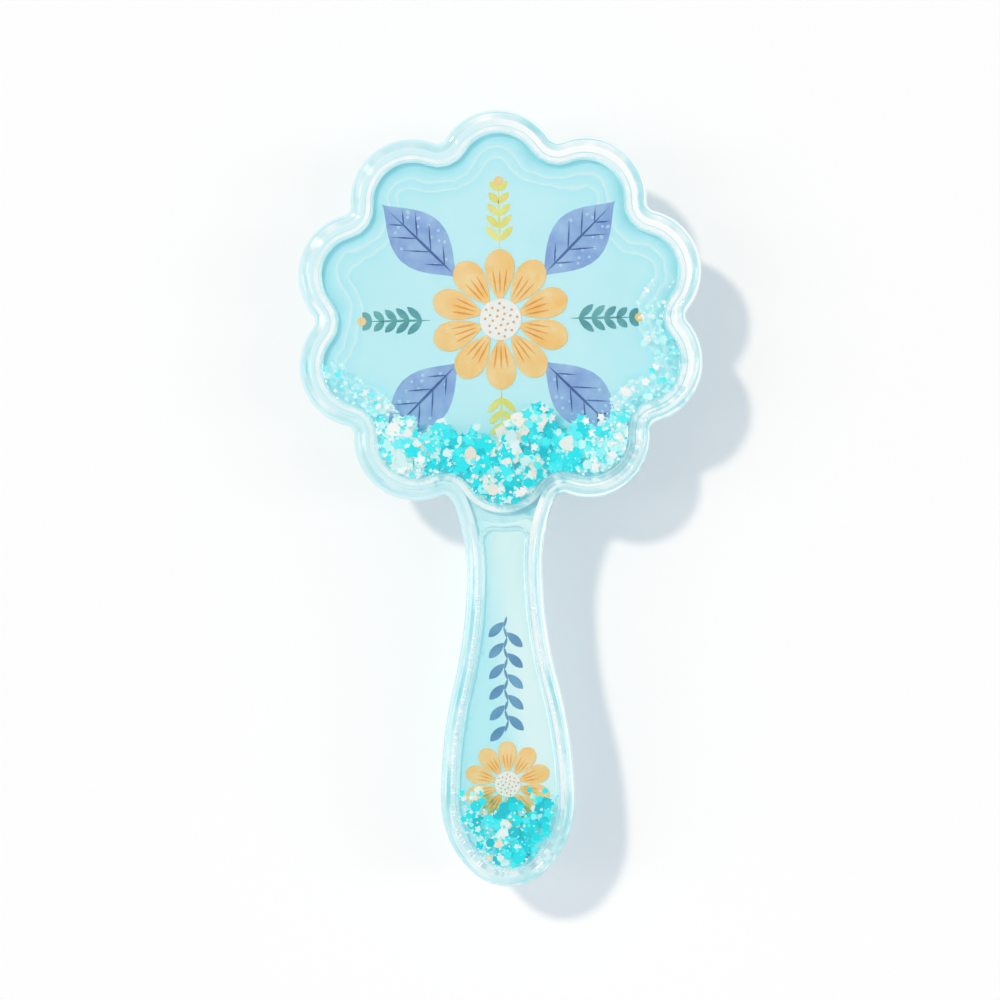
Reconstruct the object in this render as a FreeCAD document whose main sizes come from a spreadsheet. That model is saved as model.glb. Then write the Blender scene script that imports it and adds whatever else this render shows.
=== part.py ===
import FreeCAD, Part
import math
import os
import random

# Hair brush with a clear scalloped front that holds oil and glitter, and an air cushion of pins behind it.
# Millimetres. The brush lies on its pin tips at z = 0, the head towards +Y and the handle towards -Y.

Vector = FreeCAD.Vector

SIZES = [
    ("lobe_count", 10, "scallop lobes around the head, the lowest one hidden in the neck"),
    ("lobe_ring_radius", 33.2, "head centre to the centre of a lobe"),
    ("lobe_radius", 14.0, "outer radius of a lobe"),
    ("valley_radius", 2.0, "rounding between two lobes"),
    ("neck_length", 9.1, "lowest lobe to the narrowest place of the neck"),
    ("neck_half_width", 8.55, "half the neck's narrowest width"),
    ("neck_flare_radius", 39.0, "sweep from the neck up into the head"),
    ("neck_corner_radius", 2.0, "rounding between the neck and the nearest lobe"),
    ("grip_length", 52.7, "narrowest place of the neck to the widest place of the handle"),
    ("palm_half_width", 15.15, "half the handle's greatest width"),
    ("palm_length", 19.4, "widest place of the handle to its end"),
    ("handle_end_radius", 11.8, "rounding of the handle's end"),
    ("head_wall", 4.5, "side wall of the head chamber"),
    ("handle_wall", 3.4, "side wall of the handle chamber"),
    ("chamber_corner_radius", 1.0, "upper corners of the handle chamber"),
    ("window_thickness", 2.2, "front wall over the chambers"),
    ("chamber_depth", 5.3, "depth of oil"),
    ("plate_thickness", 1.6, "clear plate that closes a chamber"),
    ("plate_ledge", 1.0, "overlap of a plate on its ledge"),
    ("card_thickness", 0.4, "printed card behind a plate"),
    ("rim_round", 3.2, "rounding of the front rim"),
    ("back_depth", 6.5, "height of the back shell"),
    ("back_wall", 2.4, "side wall of the back shell"),
    ("back_floor", 2.0, "floor of the back shell"),
    ("back_round", 5.0, "rounding of the back rim"),
    ("tongue_inset", 0.7, "outline to the joint's tongue"),
    ("tongue_width", 0.8, "width of the joint's tongue"),
    ("tongue_height", 0.8, "height of the joint's tongue"),
    ("joint_clearance", 0.1, "play around the tongue, the plates and the cards"),
    ("post_count", 3, "posts under the handle card"),
    ("post_radius", 2.5, "radius of a post"),
    ("post_spacing", 18.0, "distance between the posts"),
    ("port_radius", 2.0, "filling port in each plate"),
    ("port_clearance", 0.05, "play around the filling plugs"),
    ("head_port_inset", 5.7, "lowest wall of the head chamber to its filling port"),
    ("handle_port_inset", 13.0, "handle end to the handle's filling port"),
    ("pin_pitch", 8.5, "distance between neighbouring pins"),
    ("pin_rings", 3, "six sided rings of pins around the middle one"),
    ("pin_length", 15.0, "cushion face to pin tip"),
    ("pin_root_radius", 0.85, "pin at the cushion"),
    ("pin_neck_radius", 0.6, "pin behind its ball"),
    ("pin_ball_radius", 1.05, "ball tip of a pin"),
    ("pin_head_radius", 1.8, "nail head inside the cushion"),
    ("pin_head_thickness", 0.8, "thickness of the nail head"),
    ("pin_head_gap", 0.35, "nail head to the cushion's inner face"),
    ("pin_clearance", 0.3, "play of a pin in its collar"),
    ("collar_radius", 2.0, "collar around a pin"),
    ("collar_height", 0.7, "height of a collar"),
    ("cushion_thickness", 1.5, "rubber wall of the cushion"),
    ("cushion_rise", 4.0, "cushion face above the back of the head"),
    ("cushion_margin", 2.2, "outermost pin to the edge of the cushion's flat face"),
    ("cushion_clearance", 0.3, "cushion to the edge of its opening"),
    ("flange_width", 2.2, "cushion flange beyond the opening"),
    ("flange_thickness", 1.2, "thickness of the flange"),
    ("vent_radius", 0.8, "vent hole in the cushion"),
    ("clamp_thickness", 1.6, "plate over the cushion"),
    ("clamp_rim_width", 2.0, "upstanding rim of that plate"),
    ("well_wall", 2.0, "wall of the cushion's well"),
    ("flake_thickness", 0.16, "thickness of a glitter flake"),
    ("flake_radius", 1.25, "corner radius of a glitter flake"),
    ("flake_pitch", 4.0, "spacing of the flakes in a layer"),
    ("flake_layers", 3, "layers of flakes through the oil"),
    ("flake_tilt", 18.0, "greatest tilt of a flake, in degrees"),
    ("flake_clearance", 0.2, "flake to the chamber wall"),
    ("heap_reach", 24.0, "head centre down to the glitter at rest"),
    ("heap_rise", 19.0, "climb of the glitter along the side walls"),
    ("palm_heap", 21.0, "depth of the glitter in the handle's end"),
]

# Heights that follow from the sizes, measured from the pin tips
SHELL_BOTTOM = "Sizes.pin_length + Sizes.cushion_rise"
FLOOR_TOP = SHELL_BOTTOM + " + Sizes.back_floor"
FLANGE_TOP = FLOOR_TOP + " + Sizes.flange_thickness"
PARTING = SHELL_BOTTOM + " + Sizes.back_depth"
PLATE_BOTTOM = PARTING + " + Sizes.card_thickness"
OIL_BOTTOM = PLATE_BOTTOM + " + Sizes.plate_thickness"
SEAT_DEPTH = "Sizes.card_thickness + Sizes.plate_thickness"

# Places along the brush, with the origin half way between its two ends
LOBE_TIP = "Sizes.lobe_ring_radius + Sizes.lobe_radius"
HEAD_Y = "(Sizes.neck_length + Sizes.grip_length + Sizes.palm_length) / 2"
NECK_Y = f"{HEAD_Y} - ({LOBE_TIP}) - Sizes.neck_length"
PALM_Y = NECK_Y + " - Sizes.grip_length"
END_Y = PALM_Y + " - Sizes.palm_length"

PORT_Y = {
    "head": f"{HEAD_Y} - ({LOBE_TIP}) + Sizes.head_wall + Sizes.head_port_inset",
    "handle": END_Y + " + Sizes.handle_port_inset",
}

# Radii of the cushion that follow from the pins it carries
FACE_RADIUS = "Sizes.pin_pitch * Sizes.pin_rings + Sizes.cushion_margin"
OPENING_RADIUS = FACE_RADIUS + " + Sizes.cushion_rise + Sizes.cushion_clearance"
FLANGE_RADIUS = OPENING_RADIUS + " + Sizes.flange_width"
WELL_RADIUS = FLANGE_RADIUS + " + Sizes.cushion_clearance"

# Mix and form of the glitter
TEAL_SHARE = 0.6
STAR_SHARE = 0.5
STAR_POINTS = 5
STAR_WAIST = 0.5
LAYER_SHIFT = 0.33
SEEDS = {"head": 11, "handle": 12}

doc = FreeCAD.newDocument("glitter_hair_brush")
sheet = doc.addObject("Spreadsheet::Sheet", "Sizes")
for row, (alias, number, note) in enumerate(SIZES, start=1):
    sheet.set(f"A{row}", note)
    sheet.set(f"B{row}", str(number))
    sheet.setAlias(f"B{row}", alias)
doc.recompute()


def value(expression):
    return float(sheet.evalExpression(expression))


def size(alias):
    return value("Sizes." + alias)


# Outlines: a closed chain of circles, each touching the next, walked anticlockwise
class Round:
    def __init__(self, x, y, radius, bulges):
        self.centre = Vector(x, y, 0)
        self.reach = radius if bulges else -radius

    def mirrored(self):
        return Round(-self.centre.x, self.centre.y, abs(self.reach), self.reach > 0)


def normal_between(first, second):
    return (second.centre - first.centre) / (first.reach - second.reach)


def arcs_of(chain, inset):
    arcs = []
    for index, spot in enumerate(chain):
        start = normal_between(chain[index - 1], spot)
        end = normal_between(spot, chain[(index + 1) % len(chain)])
        middle = (start + end).normalize()
        points = [spot.centre + normal * (spot.reach - inset) for normal in (start, middle, end)]
        if spot.reach < 0:
            points.reverse()
        arcs.append(Part.ArcOfCircle(*points))
    return arcs


def lower_meeting(first, first_radius, second, second_radius):
    apart = second - first
    along = (first_radius ** 2 - second_radius ** 2 + apart.Length ** 2) / (2 * apart.Length)
    aside = math.sqrt(first_radius ** 2 - along ** 2)
    foot = first + apart.normalize() * along
    across = Vector(apart.y, -apart.x, 0) * aside
    return min(foot + across, foot - across, key=lambda point: point.y)


def lobe(index):
    turn = math.radians(-90 + index * 360 / size("lobe_count"))
    ring = size("lobe_ring_radius")
    return Round(ring * math.cos(turn), value(HEAD_Y) + ring * math.sin(turn), size("lobe_radius"), True)


def valley(index):
    half_step = math.pi / size("lobe_count")
    turn = -math.pi / 2 + (2 * index + 1) * half_step
    ring = size("lobe_ring_radius")
    touch = size("lobe_radius") + size("valley_radius")
    reach = ring * math.cos(half_step) + math.sqrt(touch ** 2 - (ring * math.sin(half_step)) ** 2)
    return Round(reach * math.cos(turn), value(HEAD_Y) + reach * math.sin(turn), size("valley_radius"), False)


def head_chain():
    chain = []
    for index in range(int(size("lobe_count"))):
        chain += [lobe(index), valley(index)]
    return chain


def handle_side():
    neck_y = value(NECK_Y)
    palm_y = value(PALM_Y)
    neck_x = size("neck_half_width")
    palm_x = size("palm_half_width")
    end_round = size("handle_end_radius")
    end_drop = size("palm_length") - end_round
    widening = palm_x - neck_x
    sweep = (size("grip_length") ** 2 + widening ** 2) / (4 * widening)
    shoulder = (palm_x ** 2 + end_drop ** 2 - end_round ** 2) / (2 * (palm_x - end_round))
    flare = size("neck_flare_radius")
    return [
        Round(palm_x - shoulder, palm_y, shoulder, True),
        Round(palm_x - sweep, palm_y, sweep, True),
        Round(neck_x + sweep, neck_y, sweep, False),
        Round(neck_x + flare, neck_y, flare, False),
    ]


def handle_end():
    end_round = size("handle_end_radius")
    return Round(0, value(END_Y) + end_round, end_round, True)


def with_both_sides(side, end, top):
    left_side = [spot.mirrored() for spot in reversed(side)]
    return left_side + [end] + side + top


def body_chain():
    side = handle_side()
    last = int(size("lobe_count")) - 1
    corner_round = size("neck_corner_radius")
    flare = side[-1]
    spot = lower_meeting(
        lobe(1).centre, size("lobe_radius") + corner_round, flare.centre, abs(flare.reach) - corner_round
    )
    side.append(Round(spot.x, spot.y, corner_round, False))
    top = [lobe(1)]
    for index in range(1, last):
        top += [valley(index), lobe(index + 1)]
    return with_both_sides(side, handle_end(), top)


def thinned(spot, wall):
    return Round(spot.centre.x, spot.centre.y, abs(spot.reach - wall), spot.reach > wall)


def handle_chain():
    wall = size("handle_wall")
    side = [thinned(spot, wall) for spot in handle_side()]
    corner_round = size("chamber_corner_radius")
    divider = lobe(0)
    flare = side[-1]
    spot = lower_meeting(
        divider.centre, size("lobe_radius") + corner_round, flare.centre, abs(flare.reach) + corner_round
    )
    side.append(Round(spot.x, spot.y, corner_round, True))
    top = [Round(divider.centre.x, divider.centre.y, size("lobe_radius"), False)]
    return with_both_sides(side, thinned(handle_end(), wall), top)


# Each chamber's chain, and the inset from that chain to the chamber's wall
def chambers():
    return {"head": (head_chain(), size("head_wall")), "handle": (handle_chain(), 0)}


# Features of a body, with their heights and lengths bound to the sheet
def new_body(label):
    body = doc.addObject("PartDesign::Body", label)
    body.Label = label
    return body


def origin_plane(body, role):
    return next(plane for plane in body.Origin.OriginFeatures if plane.Role == role)


def flat_sketch(body, name, curves, height):
    sketch = body.newObject("Sketcher::SketchObject", name)
    sketch.AttachmentSupport = [(origin_plane(body, "XY_Plane"), "")]
    sketch.MapMode = "FlatFace"
    sketch.setExpression("AttachmentOffset.Base.z", height)
    sketch.addGeometry(curves, False)
    return sketch


def pad(body, name, curves, height, length):
    feature = body.newObject("PartDesign::Pad", name)
    feature.Profile = flat_sketch(body, name + "_sketch", curves, height)
    feature.setExpression("Length", length)
    doc.recompute()
    return feature


def pocket_up(body, name, curves, height, length):
    feature = body.newObject("PartDesign::Pocket", name)
    feature.Profile = flat_sketch(body, name + "_sketch", curves, height)
    feature.setExpression("Length", length)
    feature.Reversed = True
    doc.recompute()
    return feature


def round_edges_at(body, name, base, height, radius):
    level = value(height)
    names = []
    for number, edge in enumerate(base.Shape.Edges, start=1):
        if all(abs(corner.Z - level) < 1e-6 for corner in edge.Vertexes):
            names.append(f"Edge{number}")
    feature = body.newObject("PartDesign::Fillet", name)
    feature.Base = (base, names)
    feature.setExpression("Radius", radius)
    doc.recompute()
    return feature


def turned(body, name, curves):
    sketch = body.newObject("Sketcher::SketchObject", name + "_sketch")
    sketch.AttachmentSupport = [(origin_plane(body, "XZ_Plane"), "")]
    sketch.MapMode = "FlatFace"
    sketch.addGeometry(curves, False)
    feature = body.newObject("PartDesign::Revolution", name)
    feature.Profile = sketch
    feature.ReferenceAxis = (sketch, ["V_Axis"])
    feature.Angle = 360
    doc.recompute()
    return feature


def circle(x, y, radius):
    return Part.Circle(Vector(x, y, 0), Vector(0, 0, 1), radius)


def lines_through(points):
    corners = [Vector(x, y, 0) for x, y in points]
    return [Part.LineSegment(start, end) for start, end in zip(corners, corners[1:])]


def quarter(x, y, radius, from_degrees):
    ends = [math.radians(from_degrees + step) for step in (0, 45, 90)]
    return Part.ArcOfCircle(*[Vector(x + radius * math.cos(a), y + radius * math.sin(a), 0) for a in ends])


def pin_places():
    rings = int(size("pin_rings"))
    pitch = size("pin_pitch")
    places = []
    for row in range(-rings, rings + 1):
        count = 2 * rings + 1 - abs(row)
        for column in range(count):
            x = (column - (count - 1) / 2) * pitch
            places.append((x, value(HEAD_Y) + row * pitch * math.sqrt(3) / 2))
    return places


def make_front_shell():
    body = new_body("front_shell")
    depth = SEAT_DEPTH + " + Sizes.chamber_depth + Sizes.window_thickness"
    block = pad(body, "front_block", arcs_of(body_chain(), 0), PARTING, depth)
    round_edges_at(body, "front_rim", block, PARTING + " + " + depth, "Sizes.rim_round")
    for place, (chain, wall) in chambers().items():
        seat = arcs_of(chain, wall - size("plate_ledge"))
        room = arcs_of(chain, wall)
        pocket_up(body, place + "_seat", seat, PARTING, SEAT_DEPTH)
        pocket_up(body, place + "_chamber", room, PARTING, SEAT_DEPTH + " + Sizes.chamber_depth")
    play = size("joint_clearance")
    groove = arcs_of(body_chain(), size("tongue_inset") - play)
    groove += arcs_of(body_chain(), size("tongue_inset") + size("tongue_width") + play)
    pocket_up(body, "joint_groove", groove, PARTING, "Sizes.tongue_height + Sizes.joint_clearance")
    return body


def make_plate(place, chain, wall):
    label = place + "_chamber_plate"
    body = new_body(label)
    edge = arcs_of(chain, wall - size("plate_ledge") + size("joint_clearance"))
    hole = circle(0, value(PORT_Y[place]), size("port_radius"))
    pad(body, label + "_sheet", edge + [hole], PLATE_BOTTOM, "Sizes.plate_thickness")
    return body


def make_card(place, chain, wall):
    label = place + "_print_card"
    body = new_body(label)
    edge = arcs_of(chain, wall - size("plate_ledge") + size("joint_clearance"))
    pad(body, label + "_sheet", edge, PARTING, "Sizes.card_thickness")
    return body


def make_plug(place):
    label = place + "_fill_plug"
    plug = doc.addObject("Part::Cylinder", label)
    plug.Label = label
    plug.setExpression("Radius", "Sizes.port_radius - Sizes.port_clearance")
    plug.setExpression("Height", "Sizes.plate_thickness")
    plug.setExpression("Placement.Base.z", PLATE_BOTTOM)
    plug.setExpression("Placement.Base.y", PORT_Y[place])
    return plug


def make_back_shell():
    body = new_body("back_shell")
    outline = arcs_of(body_chain(), 0)
    block = pad(body, "back_block", outline, SHELL_BOTTOM, "Sizes.back_depth")
    round_edges_at(body, "back_rim", block, SHELL_BOTTOM, "Sizes.back_round")
    hollow = arcs_of(body_chain(), size("back_wall"))
    pocket_up(body, "back_hollow", hollow, FLOOR_TOP, "Sizes.back_depth - Sizes.back_floor")
    head_y = value(HEAD_Y)
    inside = "Sizes.back_depth - Sizes.back_floor"
    well = [circle(0, head_y, value(WELL_RADIUS)), circle(0, head_y, value(WELL_RADIUS) + size("well_wall"))]
    pad(body, "cushion_well", well, FLOOR_TOP, inside)
    palm_y = value(PALM_Y)
    steps = range(int(size("post_count")))
    posts = [circle(0, palm_y + step * size("post_spacing"), size("post_radius")) for step in steps]
    pad(body, "card_posts", posts, FLOOR_TOP, inside)
    opening = [circle(0, head_y, value(OPENING_RADIUS))]
    pocket_up(body, "cushion_opening", opening, SHELL_BOTTOM, "Sizes.back_floor")
    tongue = arcs_of(body_chain(), size("tongue_inset"))
    tongue += arcs_of(body_chain(), size("tongue_inset") + size("tongue_width"))
    pad(body, "joint_tongue", tongue, PARTING, "Sizes.tongue_height")
    return body


def make_cushion():
    body = new_body("air_cushion")
    face_z = size("pin_length")
    shell_z = value(SHELL_BOTTOM)
    floor_z = value(FLOOR_TOP)
    flange_z = value(FLANGE_TOP)
    wall = size("cushion_thickness")
    face = value(FACE_RADIUS)
    side = face + size("cushion_rise")
    flange = value(FLANGE_RADIUS)
    rim = [(side, shell_z), (side, floor_z), (flange, floor_z), (flange, flange_z)]
    rim += [(side - wall, flange_z), (side - wall, shell_z)]
    middle = [(face, face_z + wall), (0, face_z + wall), (0, face_z), (face, face_z)]
    shoulders = [
        quarter(face, shell_z, size("cushion_rise"), -90),
        quarter(face, shell_z, size("cushion_rise") - wall, -90),
    ]
    turned(body, "cushion_form", lines_through(rim) + shoulders + lines_through(middle))
    body.setExpression("Placement.Base.y", HEAD_Y)
    places = [(x, y - value(HEAD_Y)) for x, y in pin_places()]
    collars = [circle(x, y, size("collar_radius")) for x, y in places]
    pad(body, "pin_collars", collars, "Sizes.pin_length - Sizes.collar_height", "Sizes.collar_height")
    hole = size("pin_root_radius") + size("pin_clearance")
    holes = [circle(x, y, hole) for x, y in places]
    vent_y = size("pin_pitch") / math.sqrt(3)
    holes.append(circle(0, vent_y, size("vent_radius")))
    through = "Sizes.collar_height + Sizes.cushion_thickness"
    pocket_up(body, "pin_holes", holes, "Sizes.pin_length - Sizes.collar_height", through)
    return body


def make_clamp():
    body = new_body("cushion_clamp")
    low = value(FLANGE_TOP)
    high = low + size("clamp_thickness")
    edge = value(FLANGE_RADIUS)
    inner = edge - size("clamp_rim_width")
    top = value(PARTING)
    points = [(0, low), (edge, low), (edge, top), (inner, top), (inner, high), (0, high), (0, low)]
    turned(body, "clamp_form", lines_through(points))
    body.setExpression("Placement.Base.y", HEAD_Y)
    return body


def make_pin_form():
    body = new_body("pin_form")
    ball = size("pin_ball_radius")
    neck = size("pin_neck_radius")
    neck_z = ball + math.sqrt(ball ** 2 - neck ** 2)
    head_z = size("pin_length") + size("cushion_thickness") + size("pin_head_gap")
    top_z = head_z + size("pin_head_thickness")
    root = size("pin_root_radius")
    head = size("pin_head_radius")
    shank = [(neck, neck_z), (root, size("pin_length")), (root, head_z), (head, head_z), (head, top_z)]
    shank += [(0, top_z), (0, 0)]
    tip = Part.ArcOfCircle(Vector(0, 0, 0), Vector(ball, ball, 0), Vector(neck, neck_z, 0))
    turned(body, "pin_turning", lines_through(shank) + [tip])
    return body


def make_pins():
    form = make_pin_form()
    pins = []
    for number, (x, y) in enumerate(pin_places(), start=1):
        label = f"bristle_pin_{number:02d}"
        pin = doc.addObject("Part::Feature", label)
        pin.Label = label
        pin.Shape = form.Shape.copy()
        pin.Placement = FreeCAD.Placement(Vector(x, y, 0), FreeCAD.Rotation())
        pins.append(pin)
    return pins


# Glitter: flakes lie on a loose grid in layers, so that none touches another
def heap_in_head(x):
    climb = size("heap_rise") * (x / size("lobe_ring_radius")) ** 2
    return value(HEAD_Y) - size("heap_reach") + climb


def heap_in_handle(x):
    return value(END_Y) + size("handle_wall") + size("palm_heap")


HEAP_TOPS = {"head": heap_in_head, "handle": heap_in_handle}


def flake_outline(starry):
    corners = []
    count = 2 * STAR_POINTS if starry else 6
    for corner in range(count + 1):
        turn = 2 * math.pi * corner / count
        reach = size("flake_radius") * (STAR_WAIST if starry and corner % 2 else 1)
        corners.append(Vector(reach * math.cos(turn), reach * math.sin(turn), 0))
    return Part.Face(Part.makePolygon(corners))


def flake(starry, place, tilt, spin):
    thickness = size("flake_thickness")
    solid = flake_outline(starry).extrude(Vector(0, 0, thickness))
    solid.translate(Vector(0, 0, -thickness / 2))
    turn = FreeCAD.Rotation(Vector(0, 0, 1), spin).multiply(FreeCAD.Rotation(Vector(1, 0, 0), tilt))
    solid.Placement = FreeCAD.Placement(place, turn).multiply(solid.Placement)
    return solid


def grid_places(chain, wall, heap_top):
    pitch = size("flake_pitch")
    edge = arcs_of(chain, wall + size("flake_radius") + size("flake_clearance"))
    room = Part.Face(Part.Wire([arc.toShape() for arc in edge]))
    layers = int(size("flake_layers"))
    layer_step = size("chamber_depth") / layers
    box = room.BoundBox
    for layer in range(layers):
        z = value(OIL_BOTTOM) + (layer + 0.5) * layer_step
        for row in range(int(box.YLength / pitch) + 1):
            for column in range(int(box.XLength / pitch) + 2):
                x = box.XMin + (column + 0.5 * (row % 2) + LAYER_SHIFT * layer) * pitch
                y = box.YMin + (row + LAYER_SHIFT * layer) * pitch
                if y < heap_top(x) and room.isInside(Vector(x, y, 0), 1e-6, True):
                    yield Vector(x, y, z)


def make_glitter(place, chain, wall):
    chance = random.Random(SEEDS[place])
    flakes = {"teal": [], "pearl": []}
    for spot in grid_places(chain, wall, HEAP_TOPS[place]):
        kind = "teal" if chance.random() < TEAL_SHARE else "pearl"
        starry = kind == "teal" and chance.random() < STAR_SHARE
        tilt = chance.uniform(-1, 1) * size("flake_tilt")
        flakes[kind].append(flake(starry, spot, tilt, chance.uniform(0, 360)))
    made = []
    for kind, solids in flakes.items():
        label = f"{place}_glitter_{kind}"
        glitter = doc.addObject("Part::Feature", label)
        glitter.Label = label
        glitter.Shape = Part.makeCompound(solids)
        made.append(glitter)
    return made


def make_oil(place, chain, wall, glitter):
    label = place + "_liquid"
    fill = new_body(label + "_fill")
    edge = arcs_of(chain, wall + size("port_clearance"))
    pad(fill, label + "_pour", edge, OIL_BOTTOM, "Sizes.chamber_depth")
    flakes = doc.addObject("Part::Compound", label + "_flakes")
    flakes.Links = glitter
    oil = doc.addObject("Part::Cut", label)
    oil.Label = label
    oil.Base = fill
    oil.Tool = flakes
    return oil


def check(pieces):
    doc.recompute()
    for item in doc.Objects:
        if "Invalid" in item.State or "Error" in item.State:
            raise RuntimeError(item.Label + " did not recompute")
    for piece in pieces:
        if piece.Shape.isNull() or not piece.Shape.isValid():
            raise RuntimeError(piece.Label + " did not build")


def export(pieces):
    os.makedirs("parts", exist_ok=True)
    for piece in pieces:
        shape = piece.Shape
        shape.exportStep(f"parts/{piece.Label}.step")
        print(f"{piece.Label}: {len(shape.Solids)} solid(s), {shape.Volume:.1f} mm3")


pieces = [make_front_shell(), make_back_shell(), make_cushion(), make_clamp()] + make_pins()
for place, (chain, wall) in chambers().items():
    glitter = make_glitter(place, chain, wall)
    pieces += [make_plate(place, chain, wall), make_plug(place), make_card(place, chain, wall)]
    pieces += [make_oil(place, chain, wall, glitter)] + glitter
check(pieces)
export(pieces)
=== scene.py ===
import math
import random

import bmesh
import bpy
from mathutils import Matrix, Vector


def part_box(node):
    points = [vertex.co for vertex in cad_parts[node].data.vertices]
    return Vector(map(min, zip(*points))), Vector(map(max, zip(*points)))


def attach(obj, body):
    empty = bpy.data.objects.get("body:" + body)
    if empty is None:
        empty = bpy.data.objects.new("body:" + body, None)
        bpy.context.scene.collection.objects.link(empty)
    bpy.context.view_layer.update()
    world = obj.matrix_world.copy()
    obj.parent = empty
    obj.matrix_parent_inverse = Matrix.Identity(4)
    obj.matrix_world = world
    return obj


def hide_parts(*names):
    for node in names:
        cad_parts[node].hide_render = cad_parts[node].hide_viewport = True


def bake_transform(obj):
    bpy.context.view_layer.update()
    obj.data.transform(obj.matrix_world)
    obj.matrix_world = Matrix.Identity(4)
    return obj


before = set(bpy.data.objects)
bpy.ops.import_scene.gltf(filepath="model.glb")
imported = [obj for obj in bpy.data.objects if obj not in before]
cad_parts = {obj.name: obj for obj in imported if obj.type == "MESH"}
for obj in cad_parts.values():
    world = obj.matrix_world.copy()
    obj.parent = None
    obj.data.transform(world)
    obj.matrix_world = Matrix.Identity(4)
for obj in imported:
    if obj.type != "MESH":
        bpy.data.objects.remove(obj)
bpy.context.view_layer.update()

mm = 0.001   # meshes are drawn in millimetres and brought to metres when they are finished


def heights(node):
    low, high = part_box(node)
    return low.z / mm, high.z / mm


def middle(node):
    low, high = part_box(node)
    return (low + high) / 2 / mm


# Outline of the moulded body: a closed chain of circles, each touching the next, walked anticlockwise
outline = {
    "lobes": 10, "lobeRing": 33.2, "lobeRound": 14.0, "valleyRound": 2.0,
    "neckHalf": 8.55, "neckFlare": 39.0, "neckCorner": 2.0,
    "gripLength": 52.7, "palmHalf": 15.15, "palmLength": 19.4, "endRound": 11.8,
    "headWall": 4.5, "handleWall": 3.4, "seatCorner": 1.0, "roomCorner": 3.0, "ledge": 1.0,
    "edgeLength": 0.9,   # longest edge of a mesh along the outline
    "leastEdges": 4,   # fewest edges in one arc
}
headY = middle("air_cushion").y
headMiddle = Vector((0, headY))
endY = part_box("front_shell")[0].y / mm
palmY = endY + outline["palmLength"]
neckY = palmY + outline["gripLength"]
partingZ, topZ = heights("front_shell")
plateLow = heights("head_chamber_plate")[0]
oilLow, oilHigh = heights("head_liquid")


class Spot:   # one circle of the chain, which bulges out or curves in
    def __init__(self, x, y, radius, bulges):
        self.centre = Vector((x, y, 0))
        self.reach = radius if bulges else -radius

    def mirrored(self):
        return Spot(-self.centre.x, self.centre.y, abs(self.reach), self.reach > 0)

    def thinned(self, wall):
        return Spot(self.centre.x, self.centre.y, abs(self.reach - wall), self.reach > wall)


def normalBetween(first, second):
    return (second.centre - first.centre) / (first.reach - second.reach)


def lowerMeeting(first, firstRadius, second, secondRadius):   # lower of the points where two circles cross
    apart = second - first
    along = (firstRadius ** 2 - secondRadius ** 2 + apart.length ** 2) / (2 * apart.length)
    aside = math.sqrt(firstRadius ** 2 - along ** 2)
    apart.normalize()
    foot = first + apart * along
    across = Vector((apart.y, -apart.x, 0)) * aside
    return min(foot + across, foot - across, key=lambda point: point.y)


def onHead(reach, turn):
    return reach * math.cos(turn), headY + reach * math.sin(turn)


def lobe(index):
    turn = -math.pi / 2 + index * 2 * math.pi / outline["lobes"]
    return Spot(*onHead(outline["lobeRing"], turn), outline["lobeRound"], True)


def valley(index):
    halfStep = math.pi / outline["lobes"]
    touch = outline["lobeRound"] + outline["valleyRound"]
    inner = outline["lobeRing"] * math.cos(halfStep)
    reach = inner + math.sqrt(touch ** 2 - (outline["lobeRing"] * math.sin(halfStep)) ** 2)
    return Spot(*onHead(reach, -math.pi / 2 + (2 * index + 1) * halfStep), outline["valleyRound"], False)


def headChain():
    chain = []
    for index in range(outline["lobes"]):
        chain += [lobe(index), valley(index)]
    return chain


def handleSide():
    neckX, palmX, endRound = outline["neckHalf"], outline["palmHalf"], outline["endRound"]
    drop = outline["palmLength"] - endRound
    widening = palmX - neckX
    sweep = (outline["gripLength"] ** 2 + widening ** 2) / (4 * widening)
    shoulder = (palmX ** 2 + drop ** 2 - endRound ** 2) / (2 * (palmX - endRound))
    return [
        Spot(palmX - shoulder, palmY, shoulder, True),
        Spot(palmX - sweep, palmY, sweep, True),
        Spot(neckX + sweep, neckY, sweep, False),
        Spot(neckX + outline["neckFlare"], neckY, outline["neckFlare"], False),
    ]


def handleEnd():
    return Spot(0, endY + outline["endRound"], outline["endRound"], True)


def withBothSides(side, end, top):
    return [spot.mirrored() for spot in reversed(side)] + [end] + side + top


def bodyChain():
    side = handleSide()
    corner, flare = outline["neckCorner"], side[-1]
    lobeReach, flareReach = outline["lobeRound"] + corner, abs(flare.reach) - corner
    spot = lowerMeeting(lobe(1).centre, lobeReach, flare.centre, flareReach)
    side.append(Spot(spot.x, spot.y, corner, False))
    top = [lobe(1)]
    for index in range(1, outline["lobes"] - 1):
        top += [valley(index), lobe(index + 1)]
    return withBothSides(side, handleEnd(), top)


def handleChain(corner):
    wall = outline["handleWall"]
    side = [spot.thinned(wall) for spot in handleSide()]
    divider, flare = lobe(0).centre, side[-1]
    spot = lowerMeeting(divider, outline["lobeRound"] + corner, flare.centre, abs(flare.reach) + corner)
    side.append(Spot(spot.x, spot.y, corner, True))
    top = [Spot(divider.x, divider.y, outline["lobeRound"], False)]
    return withBothSides(side, handleEnd().thinned(wall), top)


seats = {   # where plate and card sit: the chain, and the inset of its wall
    "head": (headChain(), outline["headWall"] - outline["ledge"]),
    "handle": (handleChain(outline["seatCorner"]), -outline["ledge"]),
}
rooms = {   # where the oil is
    "head": (headChain(), outline["headWall"]),
    "handle": (handleChain(outline["roomCorner"]), 0),
}


# Mesh helpers
mergeGap = 0.001   # vertices nearer than this become one


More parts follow.
